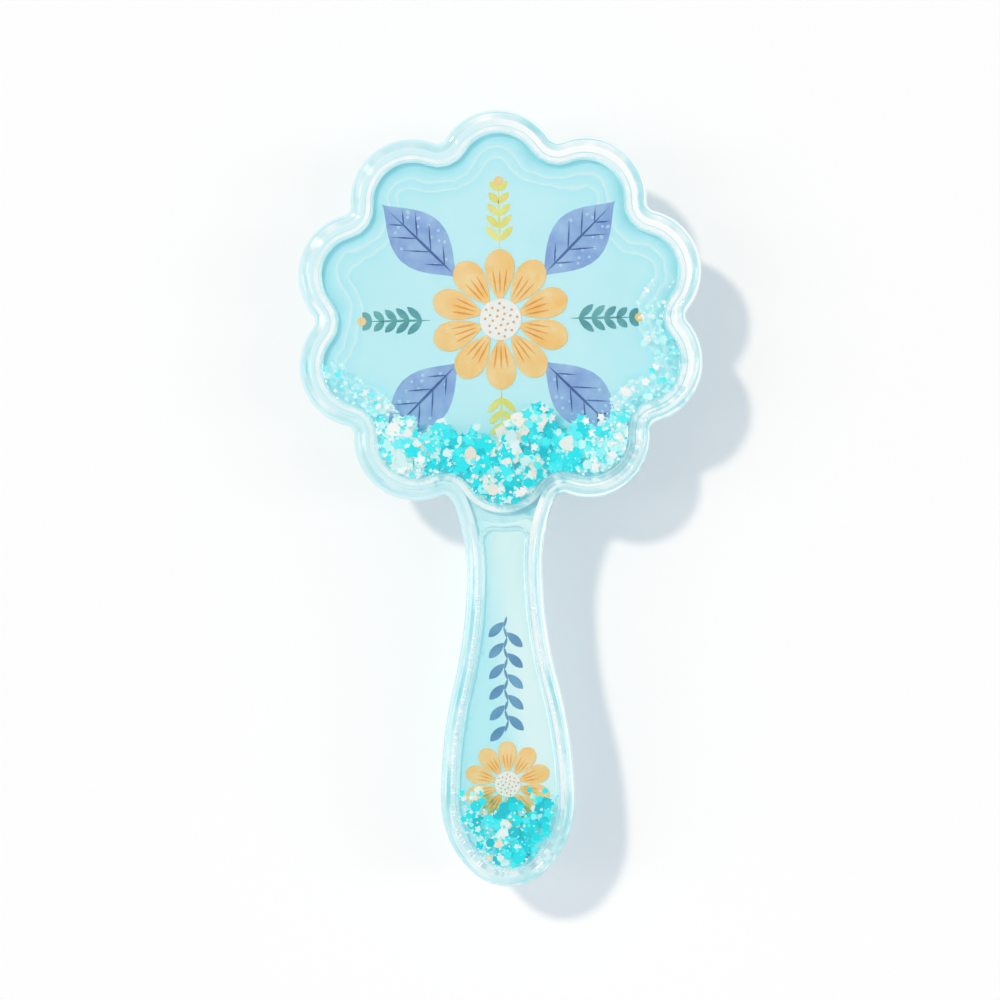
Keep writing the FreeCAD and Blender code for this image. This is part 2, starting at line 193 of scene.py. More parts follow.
def ringOf(made):   # vertices of a new ring, and the edges between them
    verts = [item for item in made if isinstance(item, bmesh.types.BMVert)]
    edges = [item for item in made if isinstance(item, bmesh.types.BMEdge)]
    ring = set(verts)
    return verts, [edge for edge in edges if ring.issuperset(edge.verts)]


def layLoop(bm, chain, inset, z):   # one closed loop, each vertex keeping its outward direction
    outward = bm.verts.layers.float_vector.get("outward") or bm.verts.layers.float_vector.new("outward")
    first = bm.verts.new(chain[0].centre)
    last, arcs = first, []
    for index, spot in enumerate(chain):
        start = normalBetween(chain[index - 1], spot)
        end = normalBetween(spot, chain[(index + 1) % len(chain)])
        turn = math.atan2(start.x * end.y - start.y * end.x, start.dot(end))
        steps = max(outline["leastEdges"], math.ceil(abs(turn) * abs(spot.reach) / outline["edgeLength"]))
        last.co = spot.centre + start * (spot.reach - inset) + Vector((0, 0, z))
        swung = bmesh.ops.spin(bm, geom=[last], cent=spot.centre, axis=(0, 0, 1), angle=turn, steps=steps)
        last = ringOf(swung["geom_last"])[0][0]
        arcs += [(start, turn * step / steps) for step in range(steps)]
    edge = first.link_edges[0]
    bmesh.ops.weld_verts(bm, targetmap={last: first})
    loop, vert = [], first
    for start, turn in arcs:
        vert[outward] = Matrix.Rotation(turn, 3, "Z") @ start
        loop.append(edge)
        vert = edge.other_vert(vert)
        edge = next(other for other in vert.link_edges if other is not edge)
    return loop


def skin(bm, loop, rings):   # a wall drawn from a loop through rings of (inset, z)
    outward = bm.verts.layers.float_vector["outward"]
    loops = [loop]
    for (inset, z), (nextInset, nextZ) in zip(rings, rings[1:]):
        verts, edges = ringOf(bmesh.ops.extrude_edge_only(bm, edges=loops[-1])["geom"])
        for vert in verts:
            vert.co += vert[outward] * (inset - nextInset) + Vector((0, 0, nextZ - z))
        loops.append(edges)
    return loops


def skinOf(bm, chain, rings):
    return skin(bm, layLoop(bm, chain, *rings[0]), rings)


def cap(bm, *loops):   # a flat face inside the first loop and around the others
    bmesh.ops.triangle_fill(bm, use_beauty=True, edges=[edge for loop in loops for edge in loop])


def quarterRings(inset, z, radius, steps):   # a rounding, from the wall to the flat
    turns = [math.pi / 2 * step / steps for step in range(steps + 1)]
    return [(inset + radius * (1 - math.cos(turn)), z + radius * math.sin(turn)) for turn in turns]


def addToScene(name, data):
    item = bpy.data.objects.new(name, data)
    bpy.context.scene.collection.objects.link(item)
    return item


def finishPiece(name, bm, material, body="brush", nodes=(), sharp=40, closed=True):
    for layer in bm.verts.layers.float_vector.values():
        bm.verts.layers.float_vector.remove(layer)
    if closed:
        bmesh.ops.remove_doubles(bm, verts=bm.verts, dist=mergeGap)
        bmesh.ops.recalc_face_normals(bm, faces=bm.faces)
    bmesh.ops.scale(bm, vec=(mm, mm, mm), verts=bm.verts)
    mesh = bpy.data.meshes.new(name)
    bm.to_mesh(mesh)
    bm.free()
    mesh.polygons.foreach_set("use_smooth", [sharp > 0] * len(mesh.polygons))
    mesh.set_sharp_from_angle(angle=math.radians(sharp))
    mesh.materials.append(material)
    piece = addToScene(name, mesh)
    if body:
        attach(piece, body)
    if nodes:
        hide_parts(*nodes)
    return piece


def thicken(piece, name, thickness):   # half to each side of a flat ink or foil
    film = piece.modifiers.new(name, "SOLIDIFY")
    film.thickness = thickness * mm
    film.offset = 0


# Shader groups that several finishes share
noiseSpan = {"From Min": 0.3, "From Max": 0.7}   # where most of a noise lies


def newGroup(name, inputs, outputs):
    group = bpy.data.node_groups.new(name, "ShaderNodeTree")
    for label, value in inputs.items():
        socket = group.interface.new_socket(name=label, in_out="INPUT", socket_type="NodeSocketFloat")
        socket.default_value = value
    for label in outputs:
        group.interface.new_socket(name=label, in_out="OUTPUT", socket_type="NodeSocketFloat")
    return group, group.nodes.new("NodeGroupInput"), group.nodes.new("NodeGroupOutput")


def addNode(tree, kind, settings=None, **links):
    node = tree.nodes.new("ShaderNode" + kind)
    for label, value in (settings or {}).items():
        if label in node.inputs:
            node.inputs[label].default_value = value
        else:
            setattr(node, label, value)
    for label, socket in links.items():
        tree.links.new(socket, node.inputs[label])
    return node


def addMath(tree, operation, *terms):   # each term is a number or a socket
    node = addNode(tree, "Math", {"operation": operation})
    for entry, term in zip(node.inputs, terms):
        if isinstance(term, float):
            entry.default_value = term
        else:
            tree.links.new(term, entry)
    return node.outputs[0]


def addRange(tree, value, settings):
    return addNode(tree, "MapRange", settings, Value=value).outputs["Result"]


def makeNoiseGroup(name, sizes, noises):   # tone from the first noise and height from the last
    group, entry, leave = newGroup(name, sizes, ["Tone", "Height"])
    place = addNode(group, "TexCoord").outputs["Object"]
    made = [addNode(group, "TexNoise", settings, Vector=place, Scale=entry.outputs[label]).outputs["Fac"]
            for label, settings in noises.items()]
    group.links.new(addRange(group, made[0], noiseSpan), leave.inputs["Tone"])
    group.links.new(made[-1], leave.inputs["Height"])
    return group


grainGroup = makeNoiseGroup(   # cloudy tone and a fine grain, on the piece's own coordinates
    "mouldGrain", {"Cloud": 60.0, "Grain": 2500.0},
    {"Cloud": {"Detail": 3.0, "Roughness": 0.55}, "Grain": {"Detail": 2.0}})
flowGroup = makeNoiseGroup(   # slow ripples of clear plastic and of poured oil
    "clearFlow", {"Ripple": 45.0}, {"Ripple": {"Detail": 1.0, "Distortion": 0.6}})
print("shader groups made")


# Finishes: colours are levels of 0 to 255, grain is (cloud, fine), bump is (strength, distance)
inOil = {"Specular IOR Level": 0.0}   # no air against the surface, so no gloss of its own
clearPass = ((0.998, 0.999, 0.999, 1), 1.0)   # light that clear plastic and oil let through
paper = {
    "washGrain": (70.0, 4000.0), "borderGrain": (90.0, 4000.0), "rough": (0.55, 0.7), "bump": (0.05, 0.0001),
}
streaks = {"stretch": (1.0, 0.1, 1.0), "scale": 320.0, "detail": 2.0, "wander": 0.5, "span": (0.2, 1.25)}
foil = {"grain": (60.0, 2500.0), "rough": (0.15, 0.4), "bump": (0.15, 0.0001), "through": 0.88}


def srgb(red, green, blue):
    def linear(level):
        share = level / 255
        return share / 12.92 if share <= 0.04045 else ((share + 0.055) / 1.055) ** 2.4
    return linear(red), linear(green), linear(blue), 1


def newFinish(name, settings, through=None):
    material = bpy.data.materials.new(name)
    material.use_nodes = True
    tree = material.node_tree
    shader = tree.nodes["Principled BSDF"]
    for label, value in settings.items():
        shader.inputs[label].default_value = value
    if through:
        letLightThrough(tree, shader, *through)
    return material, tree, shader


def blendColours(tree, shader, share, dark, light):
    mix = addNode(tree, "Mix", {"data_type": "RGBA"})
    tree.links.new(share, mix.inputs["Factor"])
    mix.inputs[6].default_value = srgb(*dark)
    mix.inputs[7].default_value = srgb(*light)
    tree.links.new(mix.outputs[2], shader.inputs["Base Color"])


def rampColours(tree, shader, share, tones):
    ramp = addNode(tree, "ValToRGB", Fac=share)
    spots = ramp.color_ramp.elements
    for index, (position, colour) in enumerate(tones):
        spot = spots[index] if index < 2 else spots.new(1.0)
        spot.position = position
        spot.color = srgb(*colour)
    tree.links.new(ramp.outputs["Color"], shader.inputs["Base Color"])


def bumpFrom(tree, shader, height, bump):
    strength, distance = bump
    raised = addNode(tree, "Bump", {"Strength": strength, "Distance": distance}, Height=height)
    tree.links.new(raised.outputs["Normal"], shader.inputs["Normal"])


def addGrain(tree, shader, grain, rough, bump):   # roughness and bump, and the tone to colour by
    group = addNode(tree, "Group", {"node_tree": grainGroup, "Cloud": grain[0], "Grain": grain[1]})
    tone = group.outputs["Tone"]
    gloss = addRange(tree, tone, {"To Min": rough[0], "To Max": rough[1]})
    tree.links.new(gloss, shader.inputs["Roughness"])
    bumpFrom(tree, shader, group.outputs["Height"], bump)
    return tone


def mixShaders(tree, share, first, second):
    mix = addNode(tree, "MixShader", Fac=share)
    tree.links.new(first.outputs[0], mix.inputs[1])
    tree.links.new(second.outputs[0], mix.inputs[2])
    return mix


def letLightThrough(tree, shader, passing, share):   # lamps and soft light pass straight on, tinted
    path = addNode(tree, "LightPath")
    either = addMath(tree, "MAXIMUM", path.outputs["Is Shadow Ray"], path.outputs["Is Diffuse Ray"])
    through = addNode(tree, "BsdfTransparent", {"Color": passing})
    mix = mixShaders(tree, addMath(tree, "MULTIPLY", either, share), shader, through)
    tree.links.new(mix.outputs[0], tree.nodes["Material Output"].inputs["Surface"])


def solidFinish(name, dark, light, grain, rough, bump, settings, through=None):   # mouldings, inks and films
    material, tree, shader = newFinish(name, settings, through)
    tone = addGrain(tree, shader, grain, rough, bump)
    blendColours(tree, shader, tone, dark, light)
    return material


def paintedSideLight(name, left, right, reach, lean=0.0, shift=0.0, through=None):   # painted side light: lightens across the piece, as light falling on one side
    material, tree, shader = newFinish(name, inOil, through)
    addGrain(tree, shader, paper["washGrain"], paper["rough"], paper["bump"])
    place = addNode(tree, "TexCoord").outputs["Object"]
    parts = addNode(tree, "SeparateXYZ", Vector=place)
    across = addMath(tree, "MULTIPLY_ADD", parts.outputs["Y"], lean, parts.outputs["X"])
    wash = addRange(tree, across, {"From Min": (shift - reach) * mm, "From Max": (shift + reach) * mm,
                                   "interpolation_type": "SMOOTHSTEP"})
    drawn = addNode(tree, "Mapping", {"Scale": streaks["stretch"]}, Vector=place).outputs["Vector"]
    noise = {"Scale": streaks["scale"], "Detail": streaks["detail"]}
    streak = addNode(tree, "TexNoise", noise, Vector=drawn).outputs["Fac"]
    wander = addMath(tree, "MULTIPLY_ADD", streak, streaks["wander"], wash)
    low, high = streaks["span"]
    share = addRange(tree, wander, {"From Min": low, "From Max": high})
    blendColours(tree, shader, share, left, right)
    return material


def borderFinish(name, tones, reach, wander):   # tones by the mesh's distance in from the edge
    material, tree, shader = newFinish(name, inOil)
    tone = addGrain(tree, shader, paper["borderGrain"], paper["rough"], paper["bump"])
    depth = addNode(tree, "Attribute", {"attribute_name": "depth"}).outputs["Fac"]
    stray = addMath(tree, "MULTIPLY_ADD", tone, wander, depth)
    share = addRange(tree, stray, {"From Max": reach})
    rampColours(tree, shader, share, [(position / reach, colour) for position, colour in tones])
    return material


def clearFinish(name, dark, light, ripple, bump, bending):
    settings = {"Transmission Weight": 1.0, "IOR": bending, "Roughness": 0.0}
    material, tree, shader = newFinish(name, settings, clearPass)
    group = addNode(tree, "Group", {"node_tree": flowGroup, "Ripple": ripple})
    blendColours(tree, shader, group.outputs["Tone"], dark, light)
    bumpFrom(tree, shader, group.outputs["Height"], bump)
    return material


def flakeFinish(name, tones, passing, gloss):   # each flake's own tone picks its colour
    material, tree, shader = newFinish(name, {"Specular IOR Level": gloss}, (passing, foil["through"]))
    tone = addNode(tree, "Attribute", {"attribute_name": "tone"}).outputs["Fac"]
    rampColours(tree, shader, tone, tones)
    addGrain(tree, shader, foil["grain"], foil["rough"], foil["bump"])
    return material


acrylic = clearFinish("clearAcrylic", (250, 254, 254), (254, 255, 255), 45.0, (0.12, 0.002), bending=1.49)
oil = clearFinish("clearOil", (250, 255, 255), (254, 255, 255), 30.0, (0.1, 0.002), bending=1.4)

frosted = ((0.86, 0.97, 0.98, 1), 0.7)   # the light that a film lets through, and how much of it
sealed = ((0.7, 0.95, 0.97, 1), 0.8)
sealedPale = ((0.8, 0.97, 0.98, 1), 0.8)
films = {   # two tones, size of the clouds, roughness, bump, light let through
    "filmFrost": ((178, 232, 240), (216, 245, 249), 130.0, (0.5, 0.7), 0.2, frosted),
    # painted highlights and painted shade: the rim band's white and dark teal mottling stands in for the
    # clear rim's reflections
    "rimHighlightAndShade": ((156, 224, 231), (255, 255, 255), 85.0, (0.5, 0.7), 0.2, frosted),
    "weldFrost": ((224, 245, 247), (253, 253, 252), 240.0, (0.5, 0.7), 0.2, frosted),
    # painted glints: white beads along the handle's wall
    "bubbleGlintWhite": ((244, 252, 252), (255, 255, 255), 400.0, (0.2, 0.3), 0.05, frosted),
    # painted shade: the head seal's teal stands in for the shade along the chamber wall, on a real seal band
    "sealAndShadeTint": ((140, 224, 233), (214, 246, 250), 70.0, (0.3, 0.5), 0.1, sealed),
    # painted shade: pale teal of the thin rim lines and the handle's seal, standing in for dark lines and
    # shade along the walls
    "paleSealAndShade": ((164, 230, 239), (226, 248, 251), 70.0, (0.3, 0.5), 0.1, sealedPale),
}
filmGrain, filmRelief = 3000.0, 0.0002
filmFinish = {}
for name, (dark, light, cloud, rough, strength, through) in films.items():
    grain, bump = (cloud, filmGrain), (strength, filmRelief)
    filmFinish[name] = solidFinish(name, dark, light, grain, rough, bump, inOil, through)
# painted highlight: the side band whitens towards the right side of the body
filmFinish["sideHighlightWash"] = paintedSideLight("sideHighlightWash", (214, 244, 249), (254, 254, 254), 10.0, through=frosted)

shellAqua = solidFinish("aquaShell", (176, 230, 238), (186, 236, 243), (40.0, 3500.0), (0.16, 0.24),
                        (0.03, 0.0002), {"Coat Weight": 0.3, "Coat Roughness": 0.08})
rubber = solidFinish("aquaRubber", (158, 218, 229), (172, 227, 236), (120.0, 3000.0), (0.5, 0.66),
                     (0.12, 0.0002), {"Sheen Weight": 0.15})
nylon = solidFinish("pinNylon", (232, 243, 244), (244, 250, 250), (400.0, 5000.0), (0.28, 0.38),
                    (0.04, 0.0001), {"Subsurface Weight": 0.15, "Subsurface Radius": (0.001, 0.001, 0.001)})

cardBlue, cardPale, paintedLightLine = (188, 246, 255), (202, 249, 255), (224, 252, 255)
paintedBorderTones = [   # distance in from the outline, and the colour there: painted shade near the wall, fading into the card's colour, with two pale painted light lines
    (4.6, (138, 222, 233)), (6.4, (172, 238, 247)), (8.0, cardBlue), (9.0, cardPale), (9.35, paintedLightLine),
    (9.8, cardBlue), (11.2, cardPale), (11.5, paintedLightLine), (12.0, cardBlue), (14.0, cardPale),
]
headPaper = borderFinish("headCardPaper", paintedBorderTones, reach=14.0, wander=2.2)
# painted highlight: the handle's card lightens from left to right
handlePaper = paintedSideLight("handleCardPaper", (192, 248, 255), (231, 255, 255), 4.5, lean=0.135, shift=-5.6)

tealTones = [(0.0, (0, 196, 210)), (0.3, (0, 236, 244)), (0.6, (86, 248, 252)), (1.0, (214, 255, 255))]
pearlTones = [(0.0, (238, 222, 200)), (0.3, (247, 244, 236)), (0.65, (208, 246, 246)), (1.0, (254, 254, 252))]
foils = {
    "teal": flakeFinish("tealFoil", tealTones, (0.5, 0.97, 0.98, 1), gloss=0.1),
    "pearl": flakeFinish("pearlFoil", pearlTones, (0.95, 0.98, 0.98, 1), gloss=0.2),
}
print("finishes made")


# Clear front moulding, with the chamber for each plate, card and pour of oil open at its back
frontMoulding = {
    "rimRound": 1.7, "rimSteps": 10, "roofRound": 0.9, "roofSteps": 6, "support": 0.3,
    "beadWidth": 1.0, "beadDip": 0.16,   # shallow line inside the rim, then its form in shares of both
    "bead": ((0.25, 0.4), (0.5, 1.0), (0.75, 0.4), (1.0, 0.0), (1.3, 0.0)),
    "seamLap": 0.02, "seamRound": 0.25, "seamTurns": (0, 45, 90),
    "grooveInset": 0.6, "grooveWidth": 1.0, "grooveDepth": 0.9,
    "overlap": 0.03,   # oil and walls, so that no two clear faces coincide
}


def roofRings(wall, low, high):   # up a chamber's wall and over onto its roof
    corner = frontMoulding["roofRound"]
    rings = [(wall, low)] + quarterRings(wall, high - corner, corner, frontMoulding["roofSteps"])
    return rings + [(wall + corner + frontMoulding["support"], high)]


def makeFrontMoulding():
    size = frontMoulding
    bm = bmesh.new()
    low = partingZ - size["seamLap"]
    seam, rim = size["seamRound"], size["rimRound"]
    near, far = size["grooveInset"], size["grooveInset"] + size["grooveWidth"]
    grooveTop = partingZ + size["grooveDepth"]
    rings = [(far, low), (far, grooveTop), (near, grooveTop), (near, low)]
    for turn in map(math.radians, size["seamTurns"]):
        rings.append((seam - seam * math.sin(turn), low + seam - seam * math.cos(turn)))
    rings += quarterRings(0, topZ - rim, rim, size["rimSteps"])
    rings += [(rim + share * size["beadWidth"], topZ - dip * size["beadDip"]) for share, dip in size["bead"]]
    foot = layLoop(bm, bodyChain(), *rings[0])
    seatLoops = [layLoop(bm, chain, inset, low) for chain, inset in seats.values()]
    cap(bm, skin(bm, foot, rings)[-1])
    ledgeZ = oilLow - size["overlap"]
    for place, seatLoop in zip(rooms, seatLoops):
        inset, (chain, wall) = seats[place][1], rooms[place]
        ledge = skin(bm, seatLoop, [(inset, low), (inset, ledgeZ)])[-1]
        roof = skinOf(bm, chain, roofRings(wall, ledgeZ, oilHigh))
        cap(bm, ledge, roof[0])
        cap(bm, roof[-1])
    cap(bm, foot, *seatLoops)
    finishPiece("frontMoulding", bm, acrylic, nodes=["front_shell"])


def makeOil(place):   # let a hair's breadth into the walls around it
    chain, wall = rooms[place]
    lap = frontMoulding["overlap"]
    bm = bmesh.new()
    loops = skinOf(bm, chain, roofRings(wall - lap, oilLow - 2 * lap, oilHigh + lap))
    cap(bm, loops[0])
    cap(bm, loops[-1])
    finishPiece(place + "Oil", bm, oil, nodes=[place + "_liquid"])


# Printed cards: the head's carries each point's distance in from the outline, for its painted shade along the
# wall and its pale painted light lines
cardCut = {"clearance": 0.1, "lift": 0.03, "border": (4.6, 5.4, 6.2, 7.0, 8.0, 9.0, 10.0, 11.0, 12.0, 13.0)}


def makeCard(place, finish, border):
    chain, inset = seats[place]
    edge, top = inset + cardCut["clearance"], plateLow + cardCut["lift"]
    rings = [(edge, partingZ), (edge, top)] + [(inset, top) for inset in border]
    bm = bmesh.new()
    depth = bm.verts.layers.float.new("depth") if border else None
    loops = skinOf(bm, chain, rings)
    if border:
        for loop, (inset, z) in zip(loops, rings):
            for vert in {vert for line in loop for vert in line.verts}:
                vert[depth] = inset
    cap(bm, loops[0])
    cap(bm, loops[-1])
    finishPiece(place + "Card", bm, finish, nodes=[place + "_print_card"])


# Bands inside the clear wall, all following the outline: (chain, inset, width, foot, top, finish)
bands = {
    # rim band: painted highlights and painted shade of the clear rim
    "rimBand": (bodyChain(), 0.3, 1.6, 27.0, 27.2, "rimHighlightAndShade"),
    # rim line: painted shade line
    "rimLine": (bodyChain(), 1.85, 0.4, 27.1, 27.3, "paleSealAndShade"),
    # side band: painted highlight, whiter to the right
    "sideBand": (bodyChain(), 2.2, 1.05, 27.2, 27.4, "sideHighlightWash"),
    # head line: painted shade line
    "headLine": (headChain(), 3.2, 0.25, 27.3, 27.47, "paleSealAndShade"),
    "headWeld": (headChain(), 3.4, 1.1, 27.44, 27.55, "weldFrost"),
    # head seal: seal band whose teal is also painted shade inside the weld
    "headSeal": (headChain(), 4.45, 0.6, 27.46, 27.62, "sealAndShadeTint"),
    # handle seal: seal band whose teal is also painted shade along the wall
    "handleSeal": (rooms["handle"][0], -0.2, 0.6, 27.43, 27.6, "paleSealAndShade"),
}
bondFilm = {"inset": 1.8, "seatLap": 0.15, "low": 0.01, "high": 0.04}   # behind the wall, around both seats


def makeBand(name):
    chain, near, width, low, high, finish = bands[name]
    far = near + width
    bm = bmesh.new()
    skinOf(bm, chain, [(near, low), (far, low), (far, high), (near, high), (near, low)])
    finishPiece(name, bm, filmFinish[finish])


def makeBondFilm():
    low, high = partingZ - bondFilm["low"], partingZ + bondFilm["high"]
    bm = bmesh.new()
    edges = [(bodyChain(), bondFilm["inset"])]
    edges += [(chain, inset + bondFilm["seatLap"]) for chain, inset in seats.values()]
    walls = [skinOf(bm, chain, [(inset, low), (inset, high)]) for chain, inset in edges]
    cap(bm, *[wall[0] for wall in walls])
    cap(bm, *[wall[1] for wall in walls])
    finishPiece("bondFilm", bm, filmFinish["filmFrost"])


# Tiny bubbles caught along the handle's wall, most of them on its left, painted white as glints: painted
# highlights
bubbles = {
    "seed": 12, "inset": 2.85, "low": 28.2, "high": 32.0, "sizes": (0.14, 0.3), "top": -18.0,
    "leftShare": 0.8, "rightShare": 0.15, "stray": (0.1, 0.3),
}


def makeBubbles():
    chance = random.Random(bubbles["seed"])
    track = bmesh.new()
    layLoop(track, bodyChain(), bubbles["inset"], 0)
    spots = [vert.co.copy() for vert in track.verts]
    track.free()
    bm = bmesh.new()
    for spot in spots:
        share = bubbles["leftShare"] if spot.x < 0 else bubbles["rightShare"]
        if spot.y > bubbles["top"] or chance.random() > share:
            continue
        strayX, strayY = [chance.gauss(0, stray) for stray in bubbles["stray"]]
        place = spot + Vector((strayX, strayY, chance.uniform(bubbles["low"], bubbles["high"])))
        bmesh.ops.create_icosphere(bm, subdivisions=2, radius=chance.uniform(*bubbles["sizes"]),
                                   matrix=Matrix.Translation(place))
    finishPiece("wallBubbleGlints", bm, filmFinish["bubbleGlintWhite"], closed=False)


makeFrontMoulding()
makeBondFilm()
for name in bands:
    makeBand(name)
for place in rooms:
    makeOil(place)
makeCard("head", headPaper, cardCut["border"])
makeCard("handle", handlePaper, ())
makeBubbles()
print("front moulding, oil, cards and bands made")


# Print on the cards: flat inks laid one over the other, each colour a piece of its own
inkFilm = {
    "step": 0.03, "thickness": 0.012, "overlap": 0.002, "laps": 8,   # overlap: a shape's rise over the last
    "grain": (220.0, 4000.0), "rough": (0.5, 0.65), "bump": (0.05, 0.0001),
}
inks = {   # layer, then the two tones that the wash wanders between
    "leafBlue": (1, (128, 164, 222), (166, 200, 238)),
    "leafDot": (2, (172, 206, 242), (192, 222, 248)),
    "leafVein": (3, (52, 90, 152), (76, 116, 180)),
    "sprigTeal": (1, (70, 152, 160), (112, 186, 188)),
    "sprigYellow": (1, (232, 222, 100), (244, 240, 150)),
    "petalOrange": (4, (255, 200, 110), (255, 222, 160)),
    "petalStroke": (5, (238, 150, 48), (248, 178, 84)),
    "seedWhite": (5, (244, 246, 240), (253, 253, 250)),
    "seedDot": (6, (238, 160, 70), (246, 190, 110)),
    "vineBlue": (1, (84, 142, 184), (112, 172, 208)),
}
inkMeshes = {name: bmesh.new() for name in inks}


def ink(name, spot, length, width, turn=0.0, point=0.0, swell=0.0, segments=20):
    bm = inkMeshes[name]
    made = bmesh.ops.create_circle(bm, cap_ends=True, segments=segments, radius=0.5)["verts"]
    for vert in made:
        along = 2 * vert.co.x
        vert.co.y *= max(0, 1 - along ** 2) ** point * (1 + swell * along)
    lap = len(bm.faces) % inkFilm["laps"] * inkFilm["overlap"]
    z = plateLow + cardCut["lift"] + inks[name][0] * inkFilm["step"] + lap
    place = Matrix.Translation((spot.x, spot.y, z)) @ Matrix.Rotation(turn, 4, "Z")
    bmesh.ops.transform(bm, matrix=place @ Matrix.Diagonal((length, width, 1, 1)), verts=made)


def dot(name, spot, size, segments):
    ink(name, spot, size, size, segments=segments)


def along(spot, reach, turn):
    return spot + Vector((reach * math.cos(turn), reach * math.sin(turn)))


rosette = {
    "petals": 10, "petalLength": 11.6, "petalWidth": 6.4, "petalReach": 10.2, "petalPoint": 0.1,
    "petalSwell": 0.45, "strokes": (-0.14, 0.0, 0.14), "strokeLength": 5.6, "strokeWidth": 0.45,
    "strokeReach": 8.6, "strokePoint": 0.5, "heart": 4.7, "seeds": 24, "seedSize": 0.62, "seedSpread": 0.86,
    "seedTurn": 2.399963,   # golden angle
    "handleY": -65.0, "handleScale": 0.62,
}


def drawRosette(spot, scale):
    size = {label: value * scale for label, value in rosette.items() if isinstance(value, float)}
    for index in range(rosette["petals"]):
        turn = 2 * math.pi * (index + 0.5) / rosette["petals"]
        place = along(spot, size["petalReach"], turn)
        ink("petalOrange", place, size["petalLength"], size["petalWidth"], turn, rosette["petalPoint"],
            rosette["petalSwell"])
        for lean in [turn + stray for stray in rosette["strokes"]]:
            place = along(spot, size["strokeReach"], lean)
            ink("petalStroke", place, size["strokeLength"], size["strokeWidth"], lean, rosette["strokePoint"],
                segments=8)
    dot("seedWhite", spot, 2 * size["heart"], 36)
    for index in range(rosette["seeds"]):
        reach = rosette["seedSpread"] * size["heart"] * math.sqrt((index + 0.5) / rosette["seeds"])
        dot("seedDot", along(spot, reach, rosette["seedTurn"] * index), size["seedSize"], 8)


leaf = {
    "length": 24.0, "width": 12.5, "reach": 25.5, "point": 0.9, "ribLength": 0.86, "ribWidth": 0.6,
    "dots": 16, "seed": 5, "dotSize": 0.75, "dotSpan": 0.3, "dotAside": (0.25, 0.8),
    "veins": 4, "veinTurn": 0.72, "veinWidth": 0.36, "veinPoint": 0.5, "veinSwell": -0.6,
    "veinSpan": 0.72, "veinFirst": 0.3, "veinStart": 0.38, "veinLength": 0.72, "veinLead": 0.09,
}


def leafHalf(share):   # half width of a leaf, by the share of its length from the middle
    return leaf["width"] / 2 * max(0, 1 - 4 * share ** 2) ** (leaf["point"] + 0.5)


def drawVein(spot, length, width, turn, segments):
    ink("leafVein", spot, length, width, turn, leaf["veinPoint"], leaf["veinSwell"], segments)


def drawLeaf(spot, turn):
    ink("leafBlue", spot, leaf["length"], leaf["width"], turn, leaf["point"], segments=36)
    drawVein(spot, leaf["ribLength"] * leaf["length"], leaf["ribWidth"], turn, 12)
    chance = random.Random(leaf["seed"])
    for index in range(leaf["dots"]):
        share, side = chance.uniform(-leaf["dotSpan"], leaf["dotSpan"]), chance.choice((-1, 1))
        reach = side * leafHalf(share) * chance.uniform(*leaf["dotAside"])
        foot = along(spot, share * leaf["length"], turn)
        dot("leafDot", along(foot, reach, turn + math.pi / 2), leaf["dotSize"], 8)
    for index in range(leaf["veins"]):
        share = leaf["veinSpan"] * (index + leaf["veinFirst"]) / leaf["veins"] - leaf["veinStart"]
        foot = along(spot, share * leaf["length"], turn)
        length = leaf["veinLength"] * leafHalf(share + leaf["veinLead"]) / math.sin(leaf["veinTurn"])
        for side in (-1, 1):
            lean = turn + side * leaf["veinTurn"]
            drawVein(along(foot, length / 2, lean), length, leaf["veinWidth"], lean, 8)


sprig = {
    "start": 15.5, "length": 16.0, "stemWidth": 0.55, "stemPoint": 0.5, "stemSwell": -0.5, "berry": 2.0,
    "pairs": 5, "pairFirst": 0.8, "pairSpare": 0.6, "turn": 0.75, "leafletLength": 4.2, "leafletWidth": 1.7,
    "leafletPoint": 0.4, "leafletSwell": 0.1, "leafletScale": (1.1, 0.1),   # first pair, and less for each
}


def drawSprig(name, centre, turn):
    start, reach = sprig["start"], sprig["length"]
    ink(name, along(centre, start + reach / 2, turn), reach, sprig["stemWidth"], turn,
        sprig["stemPoint"], sprig["stemSwell"], 10)
    step = sprig["pairs"] + sprig["pairSpare"]
    scale, less = sprig["leafletScale"]
    for index in range(sprig["pairs"]):
        foot = along(centre, start + (index + sprig["pairFirst"]) * reach / step, turn)
        length = sprig["leafletLength"] * (scale - less * index)
        for side in (-1, 1):
            lean = turn + side * sprig["turn"]
            ink(name, along(foot, length / 2, lean), length, sprig["leafletWidth"], lean,
                sprig["leafletPoint"], sprig["leafletSwell"], 12)
    dot("petalOrange", along(centre, start + reach, turn), sprig["berry"], 14)


vine = {
    "top": -27.0, "low": -53.0, "stemLean": 0.28, "stemLap": 1.16, "stemWidth": 0.62, "stemPoint": 0.3,
    "leaves": 11, "length": 4.8, "width": 2.1, "turn": 0.8, "aside": 0.4, "point": 0.35, "swell": 0.1,
}


def drawVine():
    drop = (vine["top"] - vine["low"]) / vine["leaves"]
    for index in range(vine["leaves"]):
        y = vine["top"] - (index + 0.5) * drop
        side = 1 if index % 2 else -1
        lean = -math.pi / 2 + side * vine["stemLean"]
        stem = drop * vine["stemLap"]
        ink("vineBlue", Vector((0, y)), stem, vine["stemWidth"], lean, vine["stemPoint"], segments=10)
        turn = -math.pi / 2 + side * vine["turn"]
        spot = along(Vector((side * vine["aside"], y)), vine["length"] / 2, turn)
        ink("vineBlue", spot, vine["length"], vine["width"], turn, vine["point"], vine["swell"], 16)


